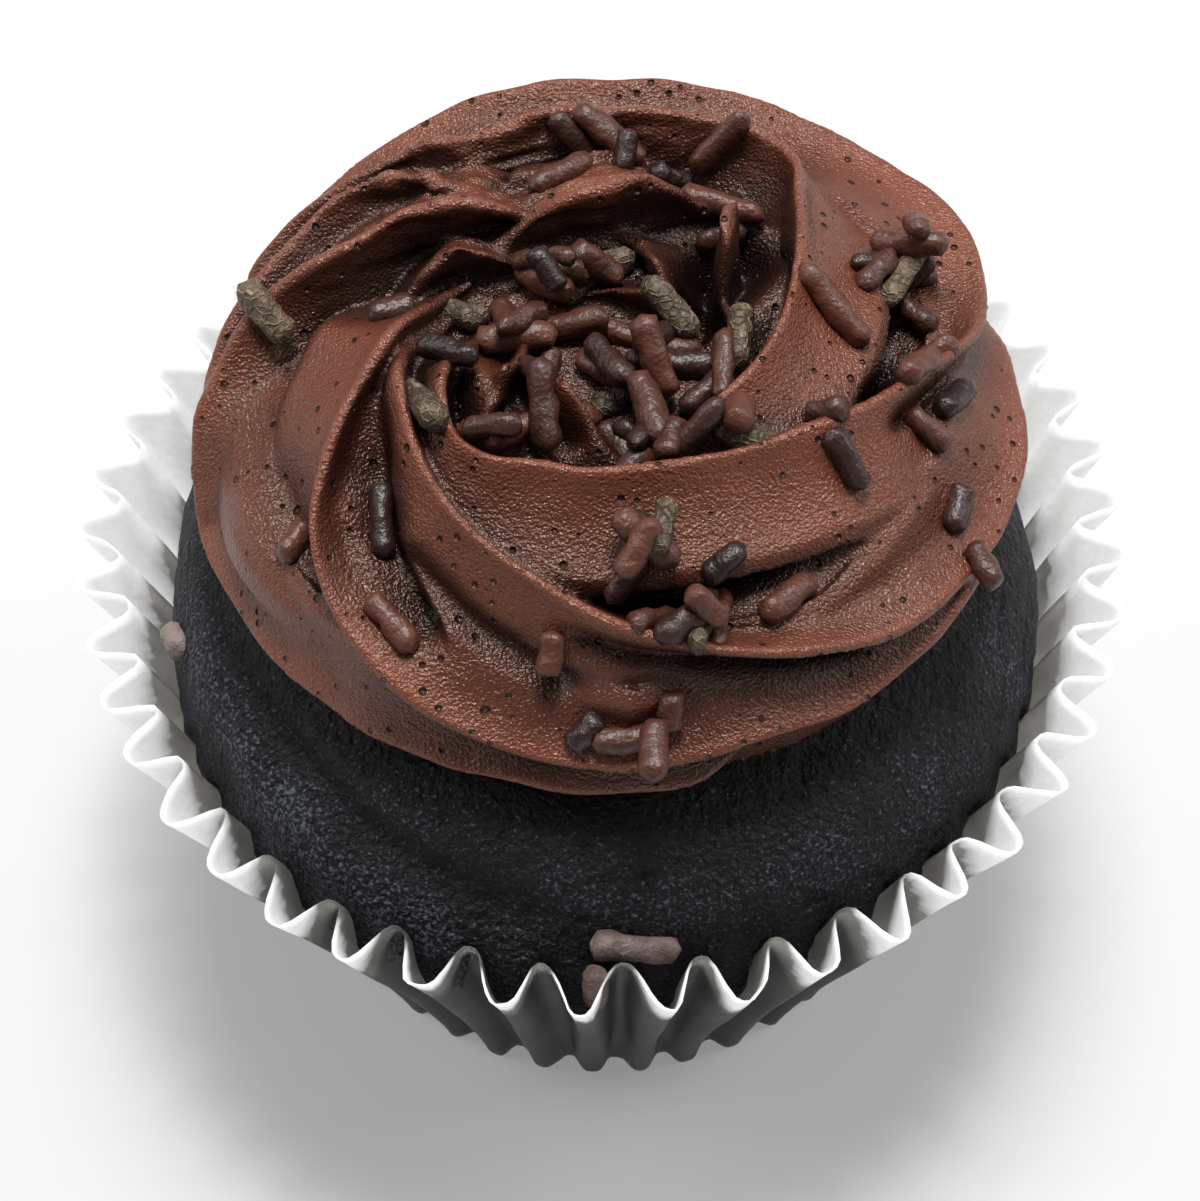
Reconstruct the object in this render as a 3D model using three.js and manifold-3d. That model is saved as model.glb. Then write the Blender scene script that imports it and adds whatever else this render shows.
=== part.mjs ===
// Chocolate cupcake in its fluted paper case, with a piped swirl of frosting under sprinkles.
// Millimetres, +Z up. The origin is the middle of the case's flat base, and the front is -Y.
import * as THREE from 'three';
import { mergeVertices } from 'three/addons/utils/BufferGeometryUtils.js';
import Module from 'manifold-3d';

const wasm = await Module();
wasm.setup();

// Fit between neighbouring pieces.
const gap = 0.3;
// A cut or join closes up any edge shorter than this.
const shortestEdge = 0.3;
const hair = 0.02;

// Paper case: a flat base and a fluted wall that leans out, further at the back than in front.
const flutes = 46;
const samplesPerFlute = 4;
const caseBaseRadius = 25.8;
const caseWallLength = 41.5;
const caseWall = 0.8; // measured across a flute, along the radius
const caseFloor = 0.45;
const fluteDepthAtBase = 0.7;
const fluteDepthAtRim = 1.9;
const rimRadius = 40.6;
const rimLean = 2.4; // wider at the back, narrower in front
const rimFlares = [
  { azimuth: 40, reach: 28, out: 2.2 },
  { azimuth: 168, reach: 13, out: 1.3 },
];
const wallCurve = 1.12; // the wall leans out a little more towards its rim
const caseRows = [0, 0.5, 1];

// Cake: a leaning side up to its widest, then a dome.
const cakeBaseRadius = 24.6;
const cakeRadius = 35.7;
const cakeWidestHeight = 30;
const cakeTop = 52;
const cakeDomePower = 3;
const cakeSideCurve = 0.8;
const cakeSides = 33;
const cakeFold = { azimuth: 226, reach: 34, radius: 31.5, width: 2.2, height: 1.1 };

// Frosting: the lips of the swirl lie on a rounded dome, and the body lies below them.
const swirlCentre = [0.3, 3.0];
const swirlRadius = [32.3, 31.0];
const swirlSkirtHeight = 52;
const swirlRise = 18.5;
const swirlPower = 2.5;
const swirlTuck = { angle: 30, radius: 0.12, drop: 4 };
const bodyDepth = [6, 2.3]; // at the top and at the skirt
const bodyDepthRange = [42, 78];
const bodyFootDepth = 2.6; // the body spreads where it sits on the cake
const bodyFoot = 43;
const bodySides = 30;

// Each arm is one sharp lip, clockwise from above. Its places on the dome are an azimuth, an angle
// down from the top, and sometimes how far it stands proud.
const arms = [
  [[300, 94], [287, 90], [274, 94], [262, 90], [248, 91], [236, 95], [222, 94], [208, 93], [196, 91, 0.4],
    [186, 80, 0.4], [177, 66], [168, 52], [158, 38], [146, 31], [132, 23], [112, 19], [93, 18]],
  [[350, 92], [340, 86], [329, 82], [318, 84], [304, 85], [290, 82], [278, 84], [262, 84], [250, 80],
    [238, 73], [226, 64], [217, 54], [209, 43], [200, 34], [188, 26], [176, 22], [160, 20], [146, 19]],
  [[178, 96], [150, 94], [120, 93], [90, 92], [60, 91], [36, 89], [20, 85], [4, 80], [352, 79, 0.6],
    [340, 80, 0.4], [328, 77], [313, 72], [300, 64], [287, 57], [273, 50], [258, 42], [242, 36],
    [226, 31], [210, 27], [192, 24], [176, 20], [162, 18]],
  [[160, 92], [140, 82, 0.4], [122, 70, 0.7], [104, 62, 1], [88, 60, 1.1], [74, 63, 1], [62, 68, 1.1],
    [50, 72, 1.6], [38, 72, 2], [28, 71, 1.9], [18, 67, 0.8], [8, 60], [359, 49], [350, 41], [338, 34],
    [324, 28], [306, 24], [286, 22], [266, 22], [250, 22], [236, 24], [224, 24], [210, 21], [194, 17],
    [178, 13], [162, 12]],
  [[172, 86], [160, 74], [148, 60], [136, 48], [122, 41], [106, 40], [90, 41], [74, 44], [62, 46],
    [52, 42], [44, 34], [32, 27], [18, 22], [2, 19], [344, 17], [324, 16], [302, 16], [282, 18], [266, 20]],
  [[196, 84], [184, 78], [172, 67], [160, 56], [150, 52], [140, 46], [133, 37], [126, 28], [114, 22]],
  [[166, 30], [154, 25], [144, 20], [134, 16], [118, 13]],
  [[146, 21], [128, 17], [110, 16], [93, 16], [78, 20], [66, 25], [56, 34]],
  [[284, 18], [270, 15], [254, 10], [230, 8], [204, 8], [170, 7]],
  [[232, 27], [226, 22], [218, 14], [200, 9], [180, 8], [150, 8]],
  [[62, 40], [53, 28], [50, 20], [40, 16], [24, 14], [4, 13], [350, 13]],
  [[88, 18], [76, 14], [66, 10], [46, 8], [24, 8], [8, 10]],
  [[112, 7], [88, 6], [62, 5], [30, 6], [2, 7]],
];
const armStep = 4.6;
const armSink = 5;
const armSinkLength = 11;
// Across an arm: distance down from its lip, and half its thickness there.
const armSection = [[0, 0.35], [2.4, 1.15], [8, 5]];
// An arm leans out over the one below it at the skirt, and leans in at the top.
const leanOut = 22;
const leanIn = -32;
const leanRange = [25, 90];

// Sprinkles: soft rods, most of them scattered in loose patches. Places are seen from above.
const rodSides = 5;
const rodRadius = [0.95, 1.2];
const rodLength = [3.6, 7.6];
const rodSink = 0.55;
const rodSteepest = 0.9; // rise over run
const rodSag = 1.5; // a rod lies only where nothing under it falls away by more than this
const rodTries = 40;
const rodPatches = [
  { count: 43, at: [1, 0.5], spread: [13, 11.5] },
  { count: 12, at: [5.5, -18.2], spread: [9, 2.8] },
  { count: 10, at: [24, 7.5], spread: [3.8, 7.5] },
  { count: 8, at: [3, 19], spread: [12, 5] },
];
// Rods that lie alone: x, y, heading, length, radius.
const strayRods = [
  [-25.8, 7, 137, 5.5, 1.3],
  [-23, -11.5, 60, 3.4, 1.1],
  [-16.5, -10.5, 95, 5.8, 1.1],
  [-15.5, -18.6, -50, 5.5, 1.1],
  [-3.8, -22, 80, 3.4, 1.1],
  [-1.3, -25.8, 40, 3.2, 1.1],
  [1.9, -26.3, 5, 5.6, 1.1],
  [4.9, -24.7, 90, 3, 1.1],
  [3.6, -28, 88, 5, 1.1],
  [26.6, -7.7, 75, 3.9, 1.1],
  [28.4, -12, -65, 4, 1.1],
  [17.3, 5, -45, 8, 1.1],
  [17.8, -8.3, -47, 5.3, 1.1],
  [-0.7, 10, 35, 7.2, 1.3],
  [-13.2, -4.8, -63, 6.8, 1.3],
  [-10.6, 6.6, -20, 3.8, 1.3],
  [10.3, -7.3, -18, 5.2, 1.3],
  [26.6, 0.4, 58, 5, 1.1],
  [24.3, -3.2, -30, 4.2, 1.1],
  [-16.1, 6.1, 20, 3.6, 1.1],
  [16.4, -4.9, -20, 3.6, 1.1],
];
const cakeRods = [
  { azimuth: 274, radius: 34.6, heading: 2, length: 7 },
  { azimuth: 192, radius: 34.9, heading: 110, length: 4 },
];
const fluteRod = { azimuth: 269, radius: 36.4, foot: 34.6, length: 5.2, lean: 0.12 };
const seed = 188;

const radians = THREE.MathUtils.degToRad;
const vector = (x, y, z) => new THREE.Vector3(x, y, z);

// A repeatable stream of numbers from 0 to 1. Its first few are skipped, as near seeds start alike.
function numberStream(start) {
  let state = Math.imul(start, 2654435761) >>> 0;
  const draw = () => {
    state = (Math.imul(state, 1664525) + 1013904223) >>> 0;
    return state / 4294967296;
  };
  for (let i = 0; i < 4; i += 1) {
    draw();
  }
  return draw;
}

// A bump of height 1 at an azimuth, fading over "reach" degrees.
function bump(azimuth, centre, reach) {
  const away = THREE.MathUtils.euclideanModulo(azimuth - centre + 180, 360) - 180;
  return Math.exp(-((away / reach) ** 2));
}

// Joins rings of equal length into one skin, and shuts both ends with a point.
function skin(rings, firstPoint, lastPoint) {
  const count = rings[0].length;
  const points = [firstPoint, ...rings.flat(), lastPoint];
  const last = points.length - 1;
  const faces = [];
  for (let i = 0; i < count; i += 1) {
    const next = (i + 1) % count;
    faces.push(0, 1 + next, 1 + i);
    for (let r = 0; r + 1 < rings.length; r += 1) {
      const low = 1 + r * count;
      const high = low + count;
      faces.push(low + i, low + next, high + next, low + i, high + next, high + i);
    }
    const top = last - count;
    faces.push(last, top + i, top + next);
  }
  const geometry = new THREE.BufferGeometry();
  const numbers = points.flatMap((point) => point.toArray());
  geometry.setAttribute('position', new THREE.Float32BufferAttribute(numbers, 3));
  geometry.setIndex(faces);
  return geometry;
}

function toSolid(geometry) {
  const bare = geometry.clone();
  bare.deleteAttribute('normal');
  bare.deleteAttribute('uv');
  const merged = mergeVertices(bare, 1e-3);
  const mesh = new wasm.Mesh({
    numProp: 3,
    vertProperties: new Float32Array(merged.attributes.position.array),
    triVerts: new Uint32Array(merged.index.array),
  });
  mesh.tolerance = shortestEdge;
  return new wasm.Manifold(mesh);
}

function toGeometry(solid) {
  const mesh = solid.getMesh();
  const numbers = new Float32Array(mesh.vertProperties);
  const geometry = new THREE.BufferGeometry();
  geometry.setAttribute('position', new THREE.BufferAttribute(numbers, 3));
  geometry.setIndex(new THREE.BufferAttribute(new Uint32Array(mesh.triVerts), 1));
  return geometry;
}

// Where two folds of a skin touch at a point or an edge, draws each back a hair into its own side.
function partTouching(geometry) {
  geometry.computeVertexNormals();
  const { position, normal } = geometry.attributes;
  const places = new Map();
  for (let i = 0; i < position.count; i += 1) {
    const place = [position.getX(i), position.getY(i), position.getZ(i)].map((c) => c.toFixed(2)).join();
    places.set(place, [...(places.get(place) ?? []), i]);
  }
  for (const alike of places.values()) {
    for (const i of alike.length > 1 ? alike : []) {
      const outwards = vector(0, 0, 0).fromBufferAttribute(normal, i);
      const point = vector(0, 0, 0).fromBufferAttribute(position, i).addScaledVector(outwards, -hair);
      position.setXYZ(i, ...point);
    }
  }
  geometry.deleteAttribute('normal');
  return geometry;
}

// The largest of a solid's separate bodies, without loose scraps and sealed hollows.
function mainBody(solid) {
  return solid.decompose().reduce((best, body) => (body.volume() > best.volume() ? body : best));
}

function rimRadiusAt(azimuth) {
  const lean = rimLean * Math.sin(radians(azimuth));
  const flare = rimFlares.reduce((sum, f) => sum + f.out * bump(azimuth, f.azimuth, f.reach), 0);
  return rimRadius + lean + flare;
}

// A ring round the case's wall at a share of its slant height, moved in by "inset".
function caseRing(share, inset, height) {
  const ring = [];
  const count = flutes * samplesPerFlute;
  for (let i = 0; i < count; i += 1) {
    const azimuth = (i * 360) / count;
    const out = rimRadiusAt(azimuth) - caseBaseRadius;
    const rise = Math.sqrt(caseWallLength ** 2 - out ** 2);
    const depth = THREE.MathUtils.lerp(fluteDepthAtBase, fluteDepthAtRim, share);
    const wave = Math.sin((2 * Math.PI * i) / samplesPerFlute);
    const radius = caseBaseRadius + out * share ** wallCurve + depth * wave - inset;
    const turn = radians(azimuth);
    ring.push(vector(radius * Math.cos(turn), radius * Math.sin(turn), height ?? rise * share));
  }
  return ring;
}

function paperCase() {
  const outside = caseRows.map((share) => caseRing(share, 0));
  const inside = caseRows.slice(1).reverse().map((share) => caseRing(share, caseWall));
  const floorRing = caseRing(0, caseWall, caseFloor);
  return skin([...outside, ...inside, floorRing], vector(0, 0, 0), vector(0, 0, caseFloor));
}

// What the case leaves free inside for the cake, open well above the rim.
function caseRoom() {
  const inset = caseWall + gap * 1.7;
  const floor = caseFloor + gap;
  const rows = caseRows.slice(1).map((share) => caseRing(share, inset));
  const lid = caseRing(1, inset, cakeTop + 20);
  return skin([caseRing(0, inset, floor), ...rows, lid], vector(0, 0, floor), vector(0, 0, cakeTop + 20));
}

// The cake's height at a radius of its dome.
function domeHeight(radius) {
  const share = Math.min(radius / cakeRadius, 1);
  const rise = (1 - share ** cakeDomePower) ** (1 / cakeDomePower);
  return cakeWidestHeight + (cakeTop - cakeWidestHeight) * rise;
}

// The crust has one soft step, low on its front left.
function foldHeight(azimuth, radius) {
  const across = (radius - cakeFold.radius) / cakeFold.width;
  return cakeFold.height * bump(azimuth, cakeFold.azimuth, cakeFold.reach) * Math.exp(-(across ** 2));
}

// The cake grown by "grow" all round.
function cakeBody(grow) {
  const rings = [];
  const ringAt = (radius, height, folded) => {
    const ring = [];
    const wide = radius + grow;
    for (let i = 0; i < cakeSides; i += 1) {
      const azimuth = (i * 360) / cakeSides;
      const lift = folded ? foldHeight(azimuth, radius) : 0;
      const turn = radians(azimuth);
      ring.push(vector(wide * Math.cos(turn), wide * Math.sin(turn), height + lift));
    }
    rings.push(ring);
  };
  for (const share of [0, 0.5]) {
    const radius = THREE.MathUtils.lerp(cakeBaseRadius, cakeRadius, share ** cakeSideCurve);
    ringAt(radius, THREE.MathUtils.lerp(0, cakeWidestHeight, share), false);
  }
  for (const share of [1, 0.975, 0.93, 0.87, 0.79, 0.5]) {
    ringAt(cakeRadius * share, domeHeight(cakeRadius * share) + grow, true);
  }
  return skin(rings, vector(0, 0, 0), vector(0, 0, cakeTop + grow));
}

// A point of the dome that the swirl's lips lie on.
function domePoint(azimuth, angle) {
  const turn = radians(azimuth);
  const below = THREE.MathUtils.clamp((angle - 90) / swirlTuck.angle, 0, 1);
  const upper = radians(Math.min(angle, 90));
  const share = Math.sin(upper) ** (2 / swirlPower) - swirlTuck.radius * below ** 2;
  const rise = swirlRise * Math.cos(upper) ** (2 / swirlPower) - swirlTuck.drop * below;
  return vector(
    swirlCentre[0] + swirlRadius[0] * share * Math.cos(turn),
    swirlCentre[1] + swirlRadius[1] * share * Math.sin(turn),
    swirlSkirtHeight + rise,
  );
}

function domeNormal(azimuth, angle) {
  const step = 0.5;
  const around = domePoint(azimuth + step, angle).sub(domePoint(azimuth - step, angle));
  const down = domePoint(azimuth, angle + step).sub(domePoint(azimuth, Math.max(angle - step, 0.1)));
  return down.cross(around).normalize();
}

function armLean(angle) {
  const share = THREE.MathUtils.smoothstep(angle, leanRange[0], leanRange[1]);
  return radians(THREE.MathUtils.lerp(leanIn, leanOut, share));
}

// Stations along an arm that are about one step of length apart.
function armStations(arm) {
  const knots = arm.map(([azimuth, angle, proud = 0]) => vector(
    angle * Math.cos(radians(azimuth)), angle * Math.sin(radians(azimuth)), proud));
  const fine = 40 * (knots.length - 1);
  const spots = new THREE.CatmullRomCurve3(knots, false, 'catmullrom', 0.5).getPoints(fine);
  const azimuthOf = (spot) => THREE.MathUtils.radToDeg(Math.atan2(spot.y, spot.x));
  const places = spots.map((spot) => domePoint(azimuthOf(spot), Math.hypot(spot.x, spot.y)));
  const lengths = [0];
  for (let i = 1; i <= fine; i += 1) {
    lengths.push(lengths[i - 1] + places[i].distanceTo(places[i - 1]));
  }
  const total = lengths[fine];
  const steps = Math.ceil(total / armStep);
  const stations = [];
  let at = 0;
  for (let k = 0; k <= steps; k += 1) {
    const length = (total * k) / steps;
    while (at < fine - 1 && lengths[at + 1] < length) {
      at += 1;
    }
    const share = (length - lengths[at]) / (lengths[at + 1] - lengths[at]);
    const spot = spots[at].clone().lerp(spots[at + 1], share);
    const azimuth = azimuthOf(spot);
    const angle = Math.hypot(spot.x, spot.y);
    const out = domeNormal(azimuth, angle);
    const nearEnd = Math.min(length, total - length) / armSinkLength;
    const sink = armSink * (1 - THREE.MathUtils.smoothstep(nearEnd, 0, 1));
    const lip = domePoint(azimuth, angle).addScaledVector(out, spot.z - sink);
    stations.push({ angle, out, lip });
  }
  return stations;
}

// One arm of the swirl: a blade whose thin edge is the lip and whose root is in the body.
function armBlade(arm) {
  const stations = armStations(arm);
  const last = stations.length - 1;
  const rings = stations.map(({ angle, out, lip }, k) => {
    const along = stations[Math.min(k + 1, last)].lip.clone().sub(stations[Math.max(k - 1, 0)].lip);
    const side = out.clone().cross(along).normalize();
    const lean = armLean(angle);
    const inward = out.clone().multiplyScalar(-Math.cos(lean)).addScaledVector(side, -Math.sin(lean));
    const across = side.clone().multiplyScalar(Math.cos(lean)).addScaledVector(out, -Math.sin(lean));
    const place = ([down, half], sign) => lip.clone()
      .addScaledVector(inward, down)
      .addScaledVector(across, sign * half);
    const outer = armSection.map((point) => place(point, 1));
    const inner = armSection.map((point) => place(point, -1));
    return [...outer, ...inner.reverse()];
  });
  const middle = (ring) => ring.reduce((sum, p) => sum.add(p), vector(0, 0, 0)).divideScalar(ring.length);
  return skin(rings, middle(rings[0]), middle(rings[last]));
}

// The frosting's body, below the arms.
function swirlBody() {
  const rings = [];
  const angles = [100, 80, 64, 48, 30, 14];
  const ringAt = (angle, depth, height) => {
    const ring = [];
    for (let i = 0; i < bodySides; i += 1) {
      const azimuth = (i * 360) / bodySides;
      const point = domePoint(azimuth, angle).addScaledVector(domeNormal(azimuth, angle), -depth);
      point.z = height ?? point.z;
      ring.push(point);
    }
    rings.push(ring);
  };
  const [top, skirt] = bodyDepth;
  ringAt(angles[0], bodyFootDepth, bodyFoot);
  ringAt(angles[0], bodyFootDepth);
  for (const angle of angles.slice(1)) {
    const share = THREE.MathUtils.smoothstep(angle, bodyDepthRange[0], bodyDepthRange[1]);
    ringAt(angle, THREE.MathUtils.lerp(top, skirt, share));
  }
  const [x, y] = swirlCentre;
  return skin(rings, vector(x, y, bodyFoot), vector(x, y, swirlSkirtHeight + swirlRise - top));
}

// Turns a solid the right way out, whichever way its rings were wound.
function outward(geometry) {
  const solid = toSolid(geometry);
  if (solid.volume() > 0) {
    return solid;
  }
  const flipped = geometry.clone();
  const index = flipped.index.array;
  for (let i = 0; i < index.length; i += 3) {
    [index[i], index[i + 1]] = [index[i + 1], index[i]];
  }
  return toSolid(flipped);
}

function rodSolid(start, end, radius) {
  const along = end.clone().sub(start);
  const rod = new THREE.CapsuleGeometry(radius, along.length() - 2 * radius, 1, rodSides);
  const turn = new THREE.Quaternion().setFromUnitVectors(vector(0, 1, 0), along.normalize());
  rod.applyQuaternion(turn);
  const middle = start.clone().add(end).multiplyScalar(0.5);
  rod.translate(middle.x, middle.y, middle.z);
  return outward(rod);
}

// The height of the highest rod over a point, or nothing where none lies.
function rodTop(rods, x, y) {
  let top = -Infinity;
  for (const rod of rods) {
    const run = rod.end.clone().sub(rod.start);
    const flat = run.x ** 2 + run.y ** 2;
    const share = THREE.MathUtils.clamp(
      ((x - rod.start.x) * run.x + (y - rod.start.y) * run.y) / flat, 0, 1);
    const nearest = rod.start.clone().addScaledVector(run, share);
    const away = Math.hypot(x - nearest.x, y - nearest.y);
    if (away < rod.radius) {
      top = Math.max(top, nearest.z + Math.sqrt(rod.radius ** 2 - away ** 2));
    }
  }
  return top;
}

// Lays a rod on a surface and on the rods already there, sunk in a little.
function layRod(surface, rods, x, y, heading, length, radius) {
  const run = vector(Math.cos(radians(heading)), Math.sin(radians(heading)), 0);
  const half = length / 2 - radius;
  const spots = [-1, -0.5, 0, 0.5, 1].map((share) => {
    const px = x + run.x * half * share;
    const py = y + run.y * half * share;
    return { at: half * share, z: Math.max(surface(px, py), rodTop(rods, px, py)) };
  });
  const steep = (spots[4].z - spots[0].z) / (2 * half);
  const slope = Number.isFinite(steep) ? THREE.MathUtils.clamp(steep, -rodSteepest, rodSteepest) : 0;
  const supports = spots.map((spot) => spot.z - slope * spot.at);
  const base = Math.max(...supports) + radius - rodSink;
  const reach = length / 2 / Math.hypot(1, slope);
  const end = vector(x + run.x * reach, y + run.y * reach, base + slope * reach);
  const start = vector(x - run.x * reach, y - run.y * reach, base - slope * reach);
  return { start, end, radius, sag: Math.max(...supports) - Math.min(...supports) };
}

function surfaceOf(solid) {
  const mesh = new THREE.Mesh(toGeometry(solid), new THREE.MeshBasicMaterial({ side: THREE.DoubleSide }));
  const ray = new THREE.Raycaster();
  const down = vector(0, 0, -1);
  return (x, y) => {
    ray.set(vector(x, y, 200), down);
    const hits = ray.intersectObject(mesh);
    return hits.length ? hits[0].point.z : -Infinity;
  };
}

function scatterRods(surface) {
  const rods = [];
  for (const [x, y, heading, length, radius] of strayRods) {
    rods.push(layRod(surface, rods, x, y, heading, length, radius));
  }
  rodPatches.forEach((patch, number) => {
    for (let i = 0; i < patch.count; i += 1) {
      const draw = numberStream(seed + 1000 * number + i);
      const between = ([low, high]) => low + (high - low) * draw();
      let rod = null;
      for (let tries = 0; tries < rodTries && !(rod?.sag < rodSag); tries += 1) {
        const away = Math.sqrt(draw());
        const turn = 2 * Math.PI * draw();
        const x = patch.at[0] + patch.spread[0] * away * Math.cos(turn);
        const y = patch.at[1] + patch.spread[1] * away * Math.sin(turn);
        const heading = 180 * draw();
        rod = layRod(surface, rods, x, y, heading, between(rodLength), between(rodRadius));
      }
      if (rod.sag < rodSag) {
        rods.push(rod);
      }
    }
  });
  return rods;
}

function frosting() {
  const blades = arms.map((arm) => outward(armBlade(arm)));
  const cutter = outward(cakeBody(gap * 1.15));
  const swirl = mainBody(wasm.Manifold.union([outward(swirlBody()), ...blades]).subtract(cutter));
  const rods = scatterRods(surfaceOf(swirl)).map((rod) => rodSolid(rod.start, rod.end, rod.radius));
  // A sliver that comes loose when touching folds are parted is dropped in a second turn.
  const whole = partTouching(toGeometry(mainBody(wasm.Manifold.union([swirl, ...rods]))));
  return partTouching(toGeometry(mainBody(toSolid(whole))));
}

function cake() {
  const body = mainBody(outward(cakeBody(0)).intersect(outward(caseRoom())));
  const surface = surfaceOf(body);
  const radius = rodRadius[1];
  const rods = cakeRods.map((rod) => {
    const turn = radians(rod.azimuth);
    const x = rod.radius * Math.cos(turn);
    const y = rod.radius * Math.sin(turn);
    const laid = layRod(surface, [], x, y, rod.heading, rod.length, radius);
    return rodSolid(laid.start, laid.end, radius);
  });
  const turn = radians(fluteRod.azimuth);
  const outwards = vector(Math.cos(turn), Math.sin(turn), 0);
  const foot = outwards.clone().multiplyScalar(fluteRod.radius).setZ(fluteRod.foot);
  const head = foot.clone().addScaledVector(outwards, fluteRod.lean * fluteRod.length);
  head.z += fluteRod.length;
  rods.push(rodSolid(foot, head, rodRadius[0]));
  return toGeometry(mainBody(wasm.Manifold.union([body, ...rods])));
}

function named(name, geometry, color, roughness) {
  const mesh = new THREE.Mesh(geometry, new THREE.MeshStandardMaterial({ color, roughness, metalness: 0 }));
  mesh.name = name;
  return mesh;
}

const cupcake = new THREE.Group();
cupcake.add(
  named('paper_case', toGeometry(outward(paperCase())), '#ece9e6', 0.8),
  named('cake', cake(), '#1d1c1f', 0.85),
  named('frosting', frosting(), '#5f3426', 0.5),
);

export default cupcake;
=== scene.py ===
# Chocolate cupcake: paper case, dark cake, piped swirl and sprinkles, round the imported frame.
# Shapes are worked out in millimetres and stored in metres.
import itertools
import math

import bpy
import numpy as np
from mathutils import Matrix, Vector
from mathutils.bvhtree import BVHTree


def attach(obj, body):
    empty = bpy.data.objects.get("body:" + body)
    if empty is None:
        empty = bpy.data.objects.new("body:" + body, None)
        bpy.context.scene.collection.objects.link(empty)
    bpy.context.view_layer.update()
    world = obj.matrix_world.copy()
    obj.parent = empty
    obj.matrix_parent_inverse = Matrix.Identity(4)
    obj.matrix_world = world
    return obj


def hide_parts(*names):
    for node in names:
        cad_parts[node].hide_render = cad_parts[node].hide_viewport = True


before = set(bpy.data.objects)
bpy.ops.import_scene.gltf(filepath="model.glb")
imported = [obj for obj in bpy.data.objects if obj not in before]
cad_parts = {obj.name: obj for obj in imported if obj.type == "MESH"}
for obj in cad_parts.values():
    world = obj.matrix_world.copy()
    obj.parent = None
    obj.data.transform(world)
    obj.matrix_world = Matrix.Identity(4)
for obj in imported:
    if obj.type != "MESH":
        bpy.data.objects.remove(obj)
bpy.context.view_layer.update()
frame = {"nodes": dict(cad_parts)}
mm = 0.001
print("frame loaded:", ", ".join(frame["nodes"]))


# Sockets and nodes

class Link:  # a socket that takes part in sums
    def __init__(self, nodes, socket):
        self.nodes = nodes
        self.socket = socket

    def sum(self, operation, first, second):
        return self.nodes.add("ShaderNodeMath", {"operation": operation}, {0: first, 1: second})

    def __add__(self, other):
        return self.sum("ADD", self, other)

    def __radd__(self, other):
        return self.sum("ADD", other, self)

    def __sub__(self, other):
        return self.sum("SUBTRACT", self, other)

    def __rsub__(self, other):
        return self.sum("SUBTRACT", other, self)

    def __mul__(self, other):
        return self.sum("MULTIPLY", self, other)

    def __rmul__(self, other):
        return self.sum("MULTIPLY", other, self)

    def __truediv__(self, other):
        return self.sum("DIVIDE", self, other)

    def __rtruediv__(self, other):
        return self.sum("DIVIDE", other, self)

    def __pow__(self, other):
        return self.sum("POWER", self, other)


class Nodes:  # adds nodes to one tree
    def __init__(self, tree):
        self.tree = tree

    def add(self, kind, settings=None, values=None, out=0):
        node = self.tree.nodes.new(kind)
        for name, value in (settings or {}).items():
            if name == "stops":
                self.setStops(node.color_ramp, value)
            else:
                setattr(node, name, value)
        for name, value in (values or {}).items():
            if isinstance(value, Link):
                self.tree.links.new(value.socket, node.inputs[name])
            else:
                node.inputs[name].default_value = value
        return Link(self, node.outputs[out]) if node.outputs else node

    def setStops(self, ramp, stops):
        while len(ramp.elements) < len(stops):
            ramp.elements.new(0.5)
        for element, (place, value) in zip(ramp.elements, stops):
            element.position = place
            element.color = (*value, 1)

    def more(self, link, out):  # another output of the same node
        return Link(self, link.socket.node.outputs[out])

    def spread(self, value, low, high, first, last):  # low to high becomes first to last, and stops there
        return self.add("ShaderNodeMapRange", {"clamp": True}, {0: value, 1: low, 2: high, 3: first, 4: last})

    def blend(self, share, first, second):  # two colours
        values = {"Factor": share, "A": first, "B": second}
        return self.add("ShaderNodeMix", {"data_type": "RGBA"}, values, out="Result")

    def ramp(self, share, *stops):
        return self.add("ShaderNodeValToRGB", {"stops": stops}, {0: share})

    def noise(self, place, scale, detail):
        return self.add("ShaderNodeTexNoise", None, {"Vector": place, "Scale": scale, "Detail": detail})

    def attribute(self, name):
        return self.add("ShaderNodeAttribute", {"attribute_name": name}, None, "Fac")

    def relief(self, height, strength, distance):
        values = {"Strength": strength, "Distance": distance, "Height": height}
        return self.add("ShaderNodeBump", None, values)


def newMaterial(name):
    material = bpy.data.materials.new(name)
    material.use_nodes = True
    material.node_tree.nodes.clear()
    return material, Nodes(material.node_tree)


def finishMaterial(nodes, shader):
    nodes.add("ShaderNodeOutputMaterial", None, {"Surface": shader})


# Plain helpers

def meshObject(name, points, faces, material=None):
    mesh = bpy.data.meshes.new(name)
    mesh.from_pydata((np.asarray(points) * mm).tolist(), [], faces)
    mesh.update()
    mesh.shade_smooth()
    if material:
        mesh.materials.append(material)
    thing = bpy.data.objects.new(name, mesh)
    bpy.context.collection.objects.link(thing)
    return thing


def makePlain(thing):  # turns a piece and its modifiers into one plain mesh
    graph = bpy.context.evaluated_depsgraph_get()
    mesh = bpy.data.meshes.new_from_object(thing.evaluated_get(graph))
    thing.modifiers.clear()
    thing.data = mesh


def pointsOf(mesh):  # in millimetres
    flat = np.empty(len(mesh.vertices) * 3)
    mesh.vertices.foreach_get("co", flat)
    return flat.reshape(-1, 3) / mm


def setPoints(mesh, points):
    mesh.vertices.foreach_set("co", (points * mm).ravel())
    mesh.update()


def normalsOf(mesh):
    flat = np.empty(len(mesh.vertices) * 3)
    mesh.vertex_normals.foreach_get("vector", flat)
    return flat.reshape(-1, 3)


def setAttribute(mesh, name, values):
    layer = mesh.attributes.new(name, "FLOAT", "POINT")
    layer.data.foreach_set("value", np.asarray(values, dtype=np.float32))


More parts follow.
